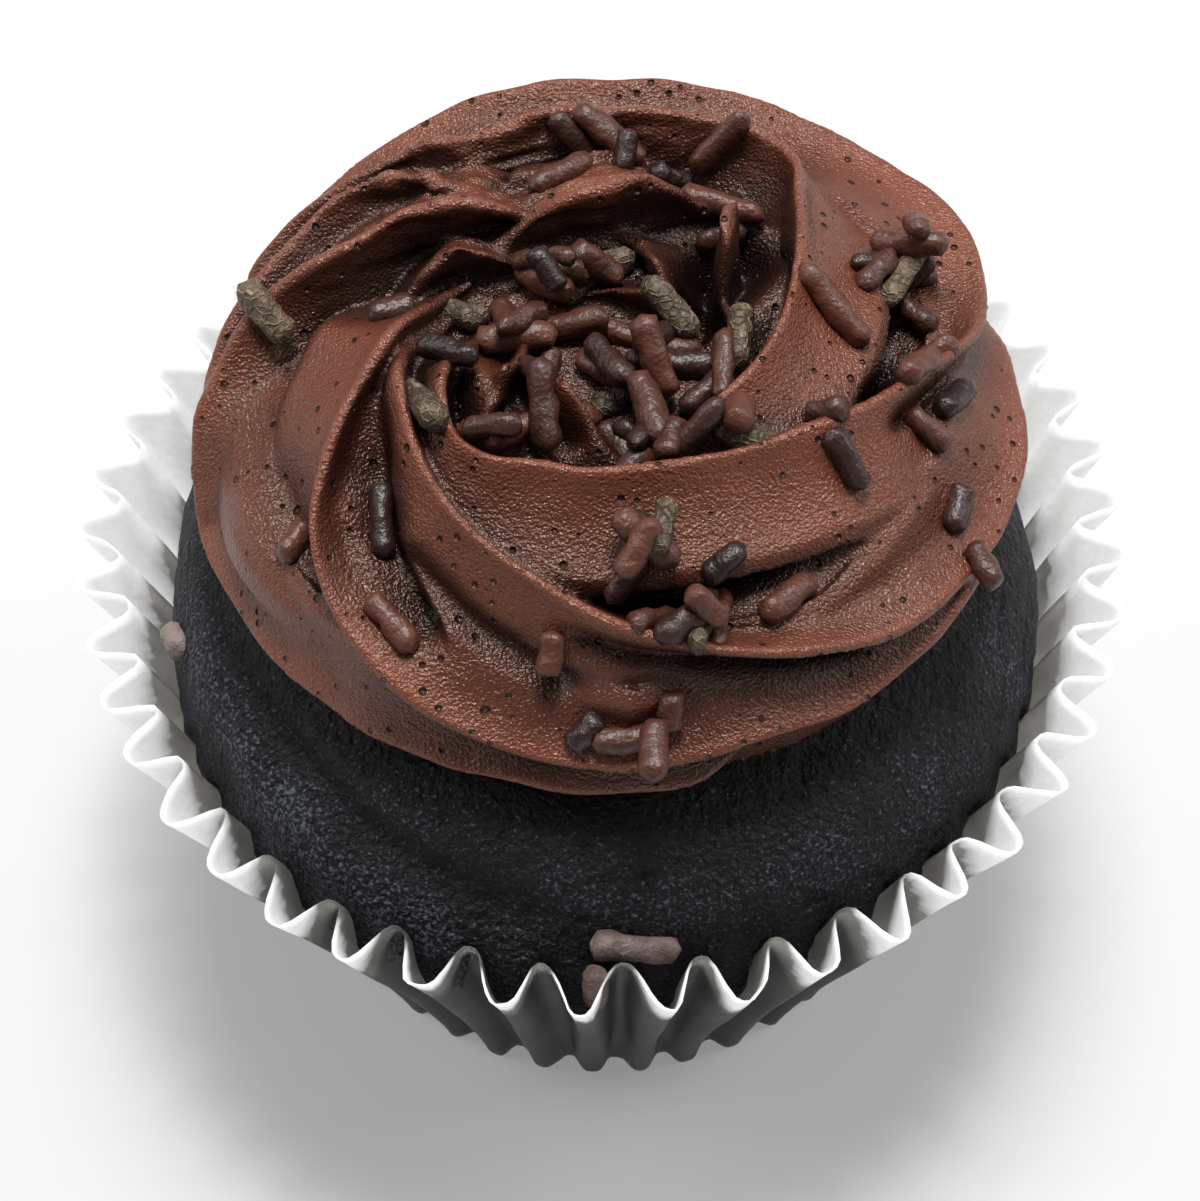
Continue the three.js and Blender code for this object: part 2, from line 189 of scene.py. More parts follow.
def enclosure(thing, reach, rays):  # how shut in each point is by the surface round it, 0 to 1; the frosting's painted shade is made from it
    tree = treeOf(thing)
    mesh = thing.data
    points, normals = pointsOf(mesh), normalsOf(mesh)
    shut = np.zeros(len(points))
    for k in range(rays):
        high = 1 - 2 * (k + 0.5) / rays
        turn = k * math.pi * (3 - math.sqrt(5))
        flat = math.sqrt(1 - high * high)
        heading = normals + 0.98 * np.array([flat * math.cos(turn), flat * math.sin(turn), high])
        heading /= np.linalg.norm(heading, axis=1, keepdims=True)
        for i, (spot, way) in enumerate(zip((points + normals * 0.25).tolist(), heading.tolist())):
            hit = tree.ray_cast(spot, way, reach)[3]
            if hit is not None:
                shut[i] += 1 - 0.5 * hit / reach
    ends = np.array([edge.vertices[:] for edge in mesh.edges])
    for _ in range(3):
        total, count = shut.copy(), np.ones(len(shut))
        for a, b in ((0, 1), (1, 0)):
            np.add.at(total, ends[:, a], shut[ends[:, b]])
            np.add.at(count, ends[:, a], 1)
        shut = total / count
    return shut / rays


def softNoise(points, cell, seed):  # smooth noise from -1 to 1, with lumps of about one cell
    spot = np.asarray(points) / cell
    base = np.floor(spot).astype(np.int64)
    part = spot - base
    part = part * part * (3 - 2 * part)
    total = np.zeros(len(spot))
    for corner in itertools.product((0, 1), repeat=3):
        c = base + corner
        mixed = (c[:, 0] * 73856093) ^ (c[:, 1] * 19349663) ^ (c[:, 2] * 83492791) ^ (seed * 40503)
        mixed = ((mixed ^ (mixed >> 13)) * 1274126177) & 0xffffffff
        mixed = mixed ^ (mixed >> 16)
        weight = np.prod(np.where(corner, part, 1 - part), axis=1)
        total += weight * (mixed / 2147483648.0 - 1)
    return total


def smoothStep(value, low, high):
    share = np.clip((value - low) / (high - low), 0, 1)
    return share * share * (3 - 2 * share)


def bump(azimuth, centre, reach):
    away = (azimuth - centre + 180) % 360 - 180
    return np.exp(-(away / reach) ** 2)


def ringFaces(rings, count):  # a closed skin over rings of points
    faces = []
    for low in range(0, (rings - 1) * count, count):
        for i in range(count):
            j = (i + 1) % count
            faces.append((low + i, low + j, low + count + j, low + count + i))
    return faces + [tuple(range(count))[::-1], tuple(range((rings - 1) * count, rings * count))]


def treeOf(thing):  # finds what a ray meets first, in millimetres
    mesh = thing.data
    return BVHTree.FromPolygons([v.co / mm for v in mesh.vertices], [p.vertices[:] for p in mesh.polygons])


def triangleCount(mesh):
    return sum(len(face.vertices) - 2 for face in mesh.polygons)


def groupTree(name, inputs, takesMesh):  # a node tree with one number input for each name
    tree = bpy.data.node_groups.new(name, "GeometryNodeTree")
    nodes = Nodes(tree)
    tree.interface.new_socket("Geometry", in_out="OUTPUT", socket_type="NodeSocketGeometry")
    if takesMesh:
        tree.interface.new_socket("Geometry", in_out="INPUT", socket_type="NodeSocketGeometry")
    for each in inputs:
        tree.interface.new_socket(each, in_out="INPUT", socket_type="NodeSocketFloat")
    start = nodes.add("NodeGroupInput")
    given = {each: nodes.more(start, each) for each in (*inputs, *(["Geometry"] if takesMesh else []))}
    return tree, nodes, given


def runTree(thing, tree, inputs):  # sets the inputs by their identifiers, then keeps the result
    shape = thing.modifiers.new(tree.name, "NODES")
    shape.node_group = tree
    sockets = {item.name: item.identifier for item in tree.interface.items_tree if item.in_out == "INPUT"}
    for name, value in inputs.items():
        shape[sockets[name]] = float(value)
    makePlain(thing)


# Paper case

caseSettings = {
    "flutes": 46,
    "samplesPerFlute": 12,
    "rows": 30,
    "floorRows": 5,
    "baseRadius": 25.8,
    "wallLength": 41.5,
    "wallCurve": 1.12,
    "fluteDepthAtBase": 0.7,
    "fluteDepthAtRim": 1.95,
    "fluteRoundness": 0.35,
    "widerInFront": 7,
    "rimRadius": 40.6,
    "rimLean": 2.4,
    "rimFlares": ((40, 28, 2.2), (168, 13, 1.3)),  # azimuth, reach, how far out
    "tipDrop": 0.35,  # the outer bends of the rim lie lower
    "unevenRim": 1.3,
    "unevenPitch": 2.2,
    "unevenDepth": 0.7,
    "unevenTips": 0.9,
    "paperThickness": 0.16,
    "greaseReach": (1.4, 4.0),  # soaked up to the first distance from the cake, dry past the second
    "seed": 7,
}


def caseTree(material):  # a fluted wall and floor from a flat grid: across it is round the case
    s = caseSettings
    names = ("flutes", "baseRadius", "wallLength", "wallCurve", "fluteDepthAtBase", "fluteDepthAtRim",
             "rimRadius", "rimLean", "paperThickness", "seed")
    tree, nodes, given = groupTree("flutedCase", names, False)
    columns = s["flutes"] * s["samplesPerFlute"] + 1
    rows = s["rows"] + s["floorRows"]
    grid = nodes.add("GeometryNodeMeshGrid", None,
                     {"Size X": 1.0, "Size Y": 1.0, "Vertices X": columns, "Vertices Y": rows})
    place = nodes.add("GeometryNodeInputPosition")
    split = nodes.add("ShaderNodeSeparateXYZ", None, {0: place})
    turn = (split + 0.5) * math.tau
    climb = nodes.more(split, 1) + 0.5
    wallStart = s["floorRows"] / rows
    share = nodes.spread(climb, wallStart, 1.0, 0.0, 1.0)
    floorShare = nodes.spread(climb, 0.0, wallStart, 0.0, 1.0)
    cosine = nodes.add("ShaderNodeMath", {"operation": "COSINE"}, {0: turn})
    sine = nodes.add("ShaderNodeMath", {"operation": "SINE"}, {0: turn})
    around = nodes.add("ShaderNodeCombineXYZ", None, {0: cosine, 1: sine, 2: share * 0.12})

    def uneven(scale, shift):  # noise round the case, that meets itself
        return nodes.add("ShaderNodeTexNoise", {"noise_dimensions": "4D"},
                         {"Vector": around, "W": given["seed"] + shift, "Scale": scale, "Detail": 1.0}) - 0.5

    flare = 0.0
    for centre, reach, out in s["rimFlares"]:
        away = nodes.add("ShaderNodeMath", {"operation": "WRAP"},
                         {0: turn - math.radians(centre), 1: -math.pi, 2: math.pi})
        away = away / math.radians(reach)
        flare = nodes.add("ShaderNodeMath", {"operation": "EXPONENT"}, {0: away * away * -1.0}) * out + flare
    rim = given["rimRadius"] + given["rimLean"] * sine + flare + uneven(5.0, 0.0) * s["unevenRim"]
    out = rim - given["baseRadius"]
    rise = nodes.add("ShaderNodeMath", {"operation": "SQRT"},
                     {0: given["wallLength"] * given["wallLength"] - out * out})
    phase = turn * given["flutes"] - cosine * s["widerInFront"] + uneven(11.0, 3.0) * s["unevenPitch"]
    wave = nodes.add("ShaderNodeMath", {"operation": "SINE"}, {0: phase})
    wave = wave * (1.0 + s["fluteRoundness"] - wave * wave * s["fluteRoundness"])
    depth = given["fluteDepthAtBase"] + (given["fluteDepthAtRim"] - given["fluteDepthAtBase"]) * share
    depth = depth * (1.0 + uneven(14.0, 9.0) * s["unevenDepth"])
    radius = given["baseRadius"] + out * (share ** given["wallCurve"]) + depth * wave * floorShare
    radius = radius * floorShare
    tip = uneven(20.0, 5.0) * share * s["unevenTips"] - wave * share * share * s["tipDrop"]
    height = rise * share + tip + given["paperThickness"] * 0.5
    spot = nodes.add("ShaderNodeCombineXYZ", None,
                     {0: radius * cosine * mm, 1: radius * sine * mm, 2: height * mm})
    moved = nodes.add("GeometryNodeSetPosition", None, {"Geometry": grid, "Position": spot})
    merged = nodes.add("GeometryNodeMergeByDistance", None, {"Geometry": moved, "Distance": 0.02 * mm})
    solid = nodes.add("GeometryNodeRealizeInstances", None, {0: merged})
    dressed = nodes.add("GeometryNodeSetMaterial", None, {"Geometry": solid, "Material": material})
    nodes.add("NodeGroupOutput", None, {0: dressed})
    return tree, names


def makeCase(material):
    s = caseSettings
    case = meshObject("paperCase", [(0, 0, 0)], [])
    tree, names = caseTree(material)
    runTree(case, tree, {name: s[name] for name in names})
    wall = case.modifiers.new("paper", "SOLIDIFY")
    wall.thickness = s["paperThickness"] * mm
    wall.offset = 0
    makePlain(case)
    case.data.shade_smooth()
    print("paper case:", len(case.data.polygons), "faces")
    return case


# Cake

cakeSettings = {
    "baseRadius": 24.6,
    "radius": 35.7,
    "widestHeight": 30,
    "top": 52,
    "domePower": 3,
    "sideCurve": 0.8,
    "creaseAzimuth": 236,
    "creaseReach": 36,
    "creaseStart": 212,
    "creaseRadius": 31.0,
    "creaseDrift": 0.06,
    "creaseDepth": 1.5,
    "creaseWidth": 1.3,
    "bulgeHeight": 1.1,
    "bulgeBelow": 2.3,
    "bulgeWidth": 1.8,
    "columns": 460,
    "sideRows": 26,
    "domeRows": 85,
    "footHeight": (1.0, 0.75),  # of the lowest ring, and the lowest that relief may reach
    "caseGap": 0.5,
    "pressedBelow": 40,
    "pressSoftness": 0.35,
    "crustHeights": (20, 34),  # the crust's relief fades in between them
    "seed": 31,
}


def domeHeight(radius):
    s = cakeSettings
    share = np.minimum(radius / s["radius"], 1)
    rise = (1 - share ** s["domePower"]) ** (1 / s["domePower"])
    return s["widestHeight"] + (s["top"] - s["widestHeight"]) * rise


def foldAt(azimuth, radius):  # a crease round the left front, and the crust bulging below it
    s = cakeSettings
    away = radius - s["creaseRadius"] - s["creaseDrift"] * np.maximum(azimuth - s["creaseStart"], 0)
    bulge = s["bulgeHeight"] * np.exp(-((away - s["bulgeBelow"]) / s["bulgeWidth"]) ** 2)
    crease = s["creaseDepth"] * np.exp(-(away / s["creaseWidth"]) ** 2)
    return (bulge - crease) * bump(azimuth, s["creaseAzimuth"], s["creaseReach"])


def caseRoom(tree, azimuth, height):  # the radius that the fluted wall leaves free
    room = np.full(len(azimuth), math.inf)
    for i, turn in enumerate(np.radians(azimuth)):
        hit = tree.ray_cast(Vector((0, 0, height)), Vector((math.cos(turn), math.sin(turn), 0)))[3]
        if hit:
            room[i] = hit - cakeSettings["caseGap"]
    return room


def makeCake(material, case):
    s = cakeSettings
    azimuth = np.arange(s["columns"]) * 360 / s["columns"]
    profile = []
    for share in (0, *np.linspace(0.03, 1, s["sideRows"])):
        radius = s["baseRadius"] + (s["radius"] - s["baseRadius"]) * share ** s["sideCurve"]
        profile.append((radius, max(s["widestHeight"] * share, s["footHeight"][0])))
    for turn in np.radians(np.linspace(0, 90, s["domeRows"] + 1)[1:-1]):
        radius = s["radius"] * math.cos(turn) ** (2 / s["domePower"])
        profile.append((radius, float(domeHeight(radius))))
    wall, soft = treeOf(case), s["pressSoftness"]
    turns = np.radians(azimuth)
    rows = []
    for radius, height in profile:
        radii = np.full(s["columns"], radius)
        if height < s["pressedBelow"]:  # pressed in by the flutes
            radii -= np.log1p(np.exp((radius - caseRoom(wall, azimuth, height)) / soft)) * soft
        level = np.full(s["columns"], height)
        rows.append(np.column_stack([radii * np.cos(turns), radii * np.sin(turns), level]))
    cake = meshObject("cake", np.vstack(rows), ringFaces(len(rows), s["columns"]), material)
    points = pointsOf(cake.data)
    normals = normalsOf(cake.data)
    upper = smoothStep(points[:, 2], *s["crustHeights"])
    lumps = softNoise(points, 9, s["seed"]) * 0.35 + softNoise(points, 3.2, s["seed"] + 1) * 0.14
    grain = softNoise(points, 1.1, s["seed"] + 2) * 0.09 + softNoise(points, 0.6, s["seed"] + 3) * 0.06
    holes = np.clip(softNoise(points, 1.5, s["seed"] + 4) - 0.62, 0, 1) * -1.1
    cracks = -0.25 * np.exp(-(softNoise(points, 6, s["seed"] + 5) / 0.05) ** 2)
    cracks = cracks * (softNoise(points, 11, s["seed"] + 6) > 0.25)
    around = np.degrees(np.arctan2(points[:, 1], points[:, 0])) % 360
    fold = foldAt(around, np.hypot(points[:, 0], points[:, 1])) * (points[:, 2] > s["widestHeight"] + 2)
    points += normals * ((lumps + cracks) * upper + grain + holes * upper + fold)[:, None]
    points[:, 2] = np.maximum(points[:, 2], s["footHeight"][1])
    setPoints(cake.data, points)
    crust = 0.35 + fold * 0.6 - smoothStep(points[:, 2], 43, 47) * 0.4  # painted light and shade: more light specks on the bulge, fewer in the crease and close to the frosting
    setAttribute(cake.data, "crust", np.clip(crust, 0, 1))
    print("cake:", len(cake.data.polygons), "faces")
    return cake


# Frosting swirl

swirlSettings = {
    "centre": (0.3, 3.0),
    "radius": (32.3, 31.0),
    "skirtHeight": 52,
    "rise": 18.5,
    "power": 2.5,
    "tuckAngle": 30,
    "tuckRadius": 0.12,
    "tuckDrop": 4,
    "bodyDepth": (6.0, 2.3),
    "bodyDepthRange": (42, 78),
    "bodyFootDepth": 2.6,
    "bodyFoot": 43,
    "footAngle": 100,
    "bodySides": 180,
    "swell": 1.9,  # the body stands out here: azimuth and reach, then the angles
    "swellAt": (208, 18),
    "swellFrom": (56, 70),
    "swellTo": (84, 92),
    "sink": 5,
    "sinkLength": 11,
    "leanOut": 22,
    "leanIn": -32,
    "leanRange": (25, 90),
    # Across an arm: distance down from its lip, and half its thickness there.
    "section": ((0, 0.34), (0.4, 0.48), (1.2, 0.68), (2.4, 1.15), (3.8, 2.0), (5.2, 3.2), (6.6, 4.7), (8, 5)),
    "step": 0.7,
    "voxel": 0.3,
    "triangles": 192000,
    "tornAt": (112, 40),  # where the paste has torn: azimuth and reach, then the angles
    "tornFrom": (12, 20),
    "tornTo": (44, 58),
    "tornDirection": 18,
    "shadeReach": 11,
    "shadeRays": 10,
    "seed": 5,
}

# One sharp lip each, clockwise from above: azimuth, angle down from the top, how proud of the dome.
arms = [
    [(300, 94), (287, 90), (274, 94), (262, 90), (248, 91), (236, 95), (222, 94), (208, 93), (196, 91, 0.4),
     (186, 80, 0.4), (177, 66), (168, 52), (158, 38), (146, 31), (132, 23), (112, 19), (93, 18)],
    [(350, 92), (340, 86), (329, 82), (318, 84), (304, 85), (290, 82), (278, 84), (262, 84), (250, 80),
     (238, 73), (226, 64), (217, 54), (209, 43), (200, 34), (188, 26), (176, 22), (160, 20), (146, 19)],
    [(178, 96), (150, 94), (120, 93), (90, 92), (60, 91), (36, 89), (20, 85), (4, 80), (352, 79, 0.6),
     (340, 80, 0.4), (328, 77), (313, 72), (300, 64), (287, 57), (273, 50), (258, 42), (242, 36), (226, 31),
     (210, 27), (192, 24), (176, 20), (162, 18)],
    [(160, 92), (140, 82, 0.4), (122, 70, 0.7), (104, 62, 1), (88, 60, 1.1), (74, 63, 1), (62, 68, 1.1),
     (50, 72, 1.6), (38, 72, 2), (28, 71, 1.9), (18, 67, 0.8), (8, 60), (359, 49), (350, 41), (338, 34),
     (324, 28), (306, 24), (286, 22), (266, 22), (250, 22), (236, 24), (224, 24), (210, 21), (194, 17),
     (178, 13), (162, 12)],
    [(172, 86), (160, 74), (148, 60), (136, 48), (122, 41), (106, 40), (90, 41), (74, 44), (62, 46), (52, 42),
     (44, 34), (32, 27), (18, 22), (2, 19), (344, 17), (324, 16), (302, 16), (282, 18), (266, 20)],
    [(196, 84), (184, 78), (172, 67), (160, 56), (150, 52), (140, 46), (133, 37), (126, 28), (114, 22)],
    [(166, 30), (154, 25), (144, 20), (134, 16), (118, 13)],
    [(146, 21), (128, 17), (110, 16), (93, 16), (78, 20), (66, 25), (56, 34)],
    [(284, 18), (270, 15), (254, 10), (230, 8), (204, 8), (170, 7)],
    [(232, 27), (226, 22), (218, 14), (200, 9), (180, 8), (150, 8)],
    [(62, 40), (53, 28), (50, 20), (40, 16), (24, 14), (4, 13), (350, 13)],
    [(88, 18), (76, 14), (66, 10), (46, 8), (24, 8), (8, 10)],
    [(112, 7), (88, 6), (62, 5), (30, 6), (2, 7)],
]

# Deep places beside the lips: a line of azimuths and angles, half its width in degrees, and its depth.
grooves = [
    ([(204, 30), (214, 42), (224, 52), (238, 64)], 4.5, 3.2),
    ([(268, 53), (284, 61), (298, 68), (308, 74)], 3.6, 2.6),
    ([(38, 19), (42, 26), (46, 32)], 5.5, 6.0),
    ([(1, 55), (354, 51), (346, 44)], 3.6, 3.4),
    ([(232, 52), (248, 60), (262, 68)], 4.0, 1.6),
    ([(250, 17), (220, 14), (190, 13)], 3.0, 1.6),
]


def domePoint(azimuth, angle):
    s = swirlSettings
    turn = np.radians(azimuth)
    below = np.clip((angle - 90) / s["tuckAngle"], 0, 1)
    upper = np.radians(np.clip(angle, 0, 90))
    share = np.sin(upper) ** (2 / s["power"]) - s["tuckRadius"] * below ** 2
    rise = s["rise"] * np.maximum(np.cos(upper), 0) ** (2 / s["power"]) - s["tuckDrop"] * below
    x = s["centre"][0] + s["radius"][0] * share * np.cos(turn)
    y = s["centre"][1] + s["radius"][1] * share * np.sin(turn)
    return np.column_stack([x, y, s["skirtHeight"] + rise])


def unit(vectors):
    return vectors / np.linalg.norm(vectors, axis=1, keepdims=True)


def domeNormal(azimuth, angle):
    step = 0.5
    around = domePoint(azimuth + step, angle) - domePoint(azimuth - step, angle)
    down = domePoint(azimuth, angle + step) - domePoint(azimuth, np.maximum(angle - step, 0.1))
    return unit(np.cross(down, around))


def smoothThrough(knots, steps):  # a smooth line through all the knots
    knots = np.vstack([2 * knots[0] - knots[1], knots, 2 * knots[-1] - knots[-2]])
    t = np.linspace(0, 1, steps, endpoint=False)[:, None]
    spans = []
    for a, b, c, d in zip(knots, knots[1:], knots[2:], knots[3:]):
        bend = (2 * a - 5 * b + 4 * c - d) * t ** 2 + (3 * b - a - 3 * c + d) * t ** 3
        spans.append(b + (c - a) * t / 2 + bend / 2)
    return np.vstack([*spans, knots[-2:-1]])


def armBlade(arm, number):
    s = swirlSettings
    flat = []
    for azimuth, angle, *proud in arm:
        turn = math.radians(azimuth)
        flat.append((angle * math.cos(turn), angle * math.sin(turn), *(proud or [0])))
    fine = smoothThrough(np.array(flat), 40)
    places = domePoint(np.degrees(np.arctan2(fine[:, 1], fine[:, 0])), np.hypot(fine[:, 0], fine[:, 1]))
    lengths = np.concatenate([[0], np.cumsum(np.linalg.norm(np.diff(places, axis=0), axis=1))])
    steps = int(lengths[-1] / s["step"]) + 1
    length = np.linspace(0, lengths[-1], steps)
    u, v, proud = (np.interp(length, lengths, fine[:, i]) for i in range(3))
    waver = np.column_stack([length, np.full(steps, number * 17.0), np.zeros(steps)])
    azimuth = np.degrees(np.arctan2(v, u))
    angle = np.hypot(u, v) + softNoise(waver, 9, s["seed"]) * 0.5
    out = domeNormal(azimuth, angle)
    nearEnd = np.minimum(length, lengths[-1] - length) / s["sinkLength"]
    proud = proud - s["sink"] * (1 - smoothStep(nearEnd, 0, 1)) + softNoise(waver, 4, s["seed"] + 1) * 0.2
    lip = domePoint(azimuth, angle) + out * proud[:, None]
    along = unit(np.gradient(lip, axis=0))
    side = unit(np.cross(out, along))
    lean = s["leanIn"] + (s["leanOut"] - s["leanIn"]) * smoothStep(angle, *s["leanRange"])
    lean = np.radians(lean)[:, None]
    inward = -out * np.cos(lean) - side * np.sin(lean)
    across = side * np.cos(lean) - out * np.sin(lean)
    rows = [lip + inward * down + across * half for down, half in s["section"]]
    rows += [lip + inward * down - across * half for down, half in reversed(s["section"])]
    count = len(rows)
    points = np.stack(rows, axis=1).reshape(-1, 3)
    return points, ringFaces(steps, count)


def swirlBody():
    s = swirlSettings
    azimuth = np.arange(s["bodySides"]) * 360 / s["bodySides"]
    rows = []
    for angle in (s["footAngle"], s["footAngle"], *range(88, 3, -6)):
        level = np.full(s["bodySides"], float(angle))
        depth = s["bodyFootDepth"] if angle == s["footAngle"] else bodyDepthAt(angle)
        swell = s["swell"] * bump(azimuth, *s["swellAt"])
        swell = swell * smoothStep(angle, *s["swellFrom"]) * (1 - smoothStep(angle, *s["swellTo"]))
        rows.append(domePoint(azimuth, level) - domeNormal(azimuth, level) * (depth - swell)[:, None])
    rows[0][:, 2] = s["bodyFoot"]
    return np.vstack(rows), ringFaces(len(rows), s["bodySides"])


def swirlAngles(points):  # azimuth and place on the dome of any point near it
    s = swirlSettings
    x = (points[:, 0] - s["centre"][0]) / s["radius"][0]
    y = (points[:, 1] - s["centre"][1]) / s["radius"][1]
    azimuth = np.degrees(np.arctan2(y, x)) % 360
    out = np.hypot(x, y) ** (s["power"] / 2)
    up = np.maximum((points[:, 2] - s["skirtHeight"]) / s["rise"], 0) ** (s["power"] / 2)
    return azimuth, np.degrees(np.arctan2(out, up))


def envelopeShare(points):  # 1 on the dome that the lips lie on, less below it
    s = swirlSettings
    x = (points[:, 0] - s["centre"][0]) / s["radius"][0]
    y = (points[:, 1] - s["centre"][1]) / s["radius"][1]
    across = np.hypot(x, y)
    up = np.maximum((points[:, 2] - s["skirtHeight"]) / s["rise"], 0)
    return (across ** s["power"] + up ** s["power"]) ** (1 / s["power"])


def bodyDepthAt(angle):
    top, skirt = swirlSettings["bodyDepth"]
    return top + (skirt - top) * smoothStep(angle, *swirlSettings["bodyDepthRange"])


def hollowness(points):  # 0 on the lips, 1 on the floor of the troughs; part of the frosting's painted shade
    depth = (1 - envelopeShare(points)) * 0.5 * (swirlSettings["rise"] + swirlSettings["radius"][0])
    return np.clip(depth / bodyDepthAt(swirlAngles(points)[1]), 0, 1.4)


def grooveDepth(azimuth, angle):
    spots = np.column_stack([angle * np.cos(np.radians(azimuth)), angle * np.sin(np.radians(azimuth))])
    depth = np.zeros(len(spots))
    for line, width, deepest in grooves:
        knots = np.array([(a * math.cos(math.radians(z)), a * math.sin(math.radians(z))) for z, a in line])
        for begin, end in zip(knots, knots[1:]):
            run = end - begin
            share = np.clip((spots - begin) @ run / (run @ run), 0, 1)
            away = np.linalg.norm(spots - begin - share[:, None] * run, axis=1)
            depth = np.maximum(depth, deepest * np.exp(-(away / width) ** 2))
    return depth


def makeFrosting(material):
    s = swirlSettings
    points, faces = swirlBody()
    for number, arm in enumerate(arms):
        armPoints, armFaces = armBlade(arm, number)
        shift = len(points)
        points = np.vstack([points, armPoints])
        faces += [tuple(i + shift for i in face) for face in armFaces]
    frosting = meshObject("frostingSwirl", points, faces, material)
    remesh = frosting.modifiers.new("onePaste", "REMESH")
    remesh.mode = "VOXEL"
    remesh.voxel_size = s["voxel"] * mm
    remesh.use_smooth_shade = True
    makePlain(frosting)
    soften = frosting.modifiers.new("soften", "SMOOTH")
    soften.factor = 0.5
    soften.iterations = 2
    makePlain(frosting)
    mesh = frosting.data
    points = pointsOf(mesh)
    normals = normalsOf(mesh)
    azimuth, angle = swirlAngles(points)
    below = 1 - smoothStep(envelopeShare(points), 0.9, 0.975)
    points -= domeNormal(azimuth, angle) * (grooveDepth(azimuth, angle) * below)[:, None]
    torn = bump(azimuth, *s["tornAt"]) * smoothStep(angle, *s["tornFrom"])
    torn = torn * (1 - smoothStep(angle, *s["tornTo"]))
    soft = softNoise(points, 8, s["seed"] + 2) * 0.22 + softNoise(points, 2.6, s["seed"] + 3) * 0.07
    turn = math.radians(s["tornDirection"])
    across, along = math.sin(turn), math.cos(turn)
    drawn = points @ np.array([[along, -across, 0], [across, along, 0], [0, 0, 1]])
    drawn = drawn * (0.14, 1, 0.8)  # noise on these places is drawn out into streaks
    rags = 1 - np.abs(softNoise(drawn, 1.5, s["seed"] + 5)) * 2
    shreds = softNoise(drawn * (1.6, 1, 1), 0.75, s["seed"] + 6)
    move = soft + torn * (rags * 0.55 + shreds * 0.4 + softNoise(points, 1.2, s["seed"] + 7) * 0.15)
    points += normals * move[:, None]
    floor = domeHeight(np.hypot(points[:, 0], points[:, 1])) + 0.1
    points[:, 2] = np.maximum(points[:, 2], floor)
    setPoints(mesh, points)
    lighten = frosting.modifiers.new("fewerFaces", "DECIMATE")
    lighten.ratio = s["triangles"] / triangleCount(mesh)
    makePlain(frosting)
    mesh = frosting.data
    points = pointsOf(mesh)
    # Painted shade: trough depth and ray-cast occlusion, kept for darkening the frosting's colour in troughs
    # and under lips.
    shut = enclosure(frosting, s["shadeReach"], s["shadeRays"])
    setAttribute(mesh, "hollow", hollowness(points) * 0.25 + shut * 1.1)
    mesh.shade_smooth()
    mesh.materials.clear()
    mesh.materials.append(material)
    print("frosting:", triangleCount(mesh), "triangles")
    return frosting


# Sprinkles

sprinkleSettings = {
    "radius": (0.84, 1.08),
    "length": (3.6, 7.6),
    "sink": 0.55,
    "steepest": 0.9,
    "sag": 1.5,  # a rod lies only where nothing under it falls away by more than this
    "tries": 40,
    "kinds": (("olive", 0.1), ("dark", 0.32), ("brown", 1.0)),  # a draw below the number gives that kind
    "strayRadius": {"olive": 1.18, "dark": 1.0, "brown": 1.0},
    "cakeRadius": 1.2,
    "sides": 14,
    "stations": 15,
    "lumpSize": 1.5,
    "lumpHeight": 0.95,
    "seed": 188,
}
patches = [  # how many, and where, seen from above
    {"count": 43, "at": (1, 0.5), "spread": (13, 11.5)},
    {"count": 12, "at": (5.5, -18.2), "spread": (9, 2.8)},
    {"count": 10, "at": (24, 7.5), "spread": (3.8, 7.5)},
    {"count": 8, "at": (3, 19), "spread": (12, 5)},
]
strays = [  # x, y, heading, length, kind
    (-25.8, 7.0, 137, 5.5, "olive"),
    (-23.0, -11.5, 60, 3.4, "brown"),
    (-16.5, -10.5, 95, 5.8, "dark"),
    (-15.5, -18.6, -50, 5.5, "brown"),
    (-3.8, -22.0, 80, 3.4, "brown"),
    (-1.3, -25.8, 40, 3.2, "dark"),
    (1.9, -26.3, 5, 5.6, "brown"),
    (4.9, -24.7, 90, 3.0, "brown"),
    (3.6, -28.0, 88, 5.0, "brown"),
    (26.6, -7.7, 75, 3.9, "dark"),
    (28.4, -12.0, -65, 4.0, "brown"),
    (17.3, 5.0, -45, 8.0, "brown"),
    (17.8, -8.3, -47, 5.3, "dark"),
    (-0.7, 10.0, 35, 7.2, "olive"),
    (-13.2, -4.8, -63, 6.8, "olive"),
    (-10.6, 6.6, -20, 3.8, "olive"),
    (10.3, -7.3, -18, 5.2, "olive"),
    (26.6, 0.4, 58, 5.0, "dark"),
    (24.3, -3.2, -30, 4.2, "brown"),
    (-16.1, 6.1, 20, 3.6, "dark"),
    (16.4, -4.9, -20, 3.6, "brown"),
]
cakeRods = [(274, 34.6, 2, 7), (192, 34.9, 110, 4)]  # azimuth, distance out, heading, length
fluteRod = {"azimuth": 269, "distance": 36.4, "foot": 35.0, "length": 5.2, "lean": 0.12, "radius": 1.1}


class Draws:  # a repeatable stream of numbers from 0 to 1
    def __init__(self, start):
        self.state = (start * 2654435761) & 0xffffffff
        for _ in range(4):
            self.next()

    def next(self):
        self.state = (self.state * 1664525 + 1013904223) & 0xffffffff
        return self.state / 4294967296

    def between(self, low, high):
        return low + (high - low) * self.next()


def rodTop(rods, x, y):
    top = -math.inf
    for rod in rods:
        run = rod["end"] - rod["start"]
        flat = run.x ** 2 + run.y ** 2
        share = ((x - rod["start"].x) * run.x + (y - rod["start"].y) * run.y) / flat
        near = rod["start"] + run * min(max(share, 0), 1)
        away = math.hypot(x - near.x, y - near.y)
        if away < rod["radius"]:
            top = max(top, near.z + math.sqrt(rod["radius"] ** 2 - away ** 2))
    return top


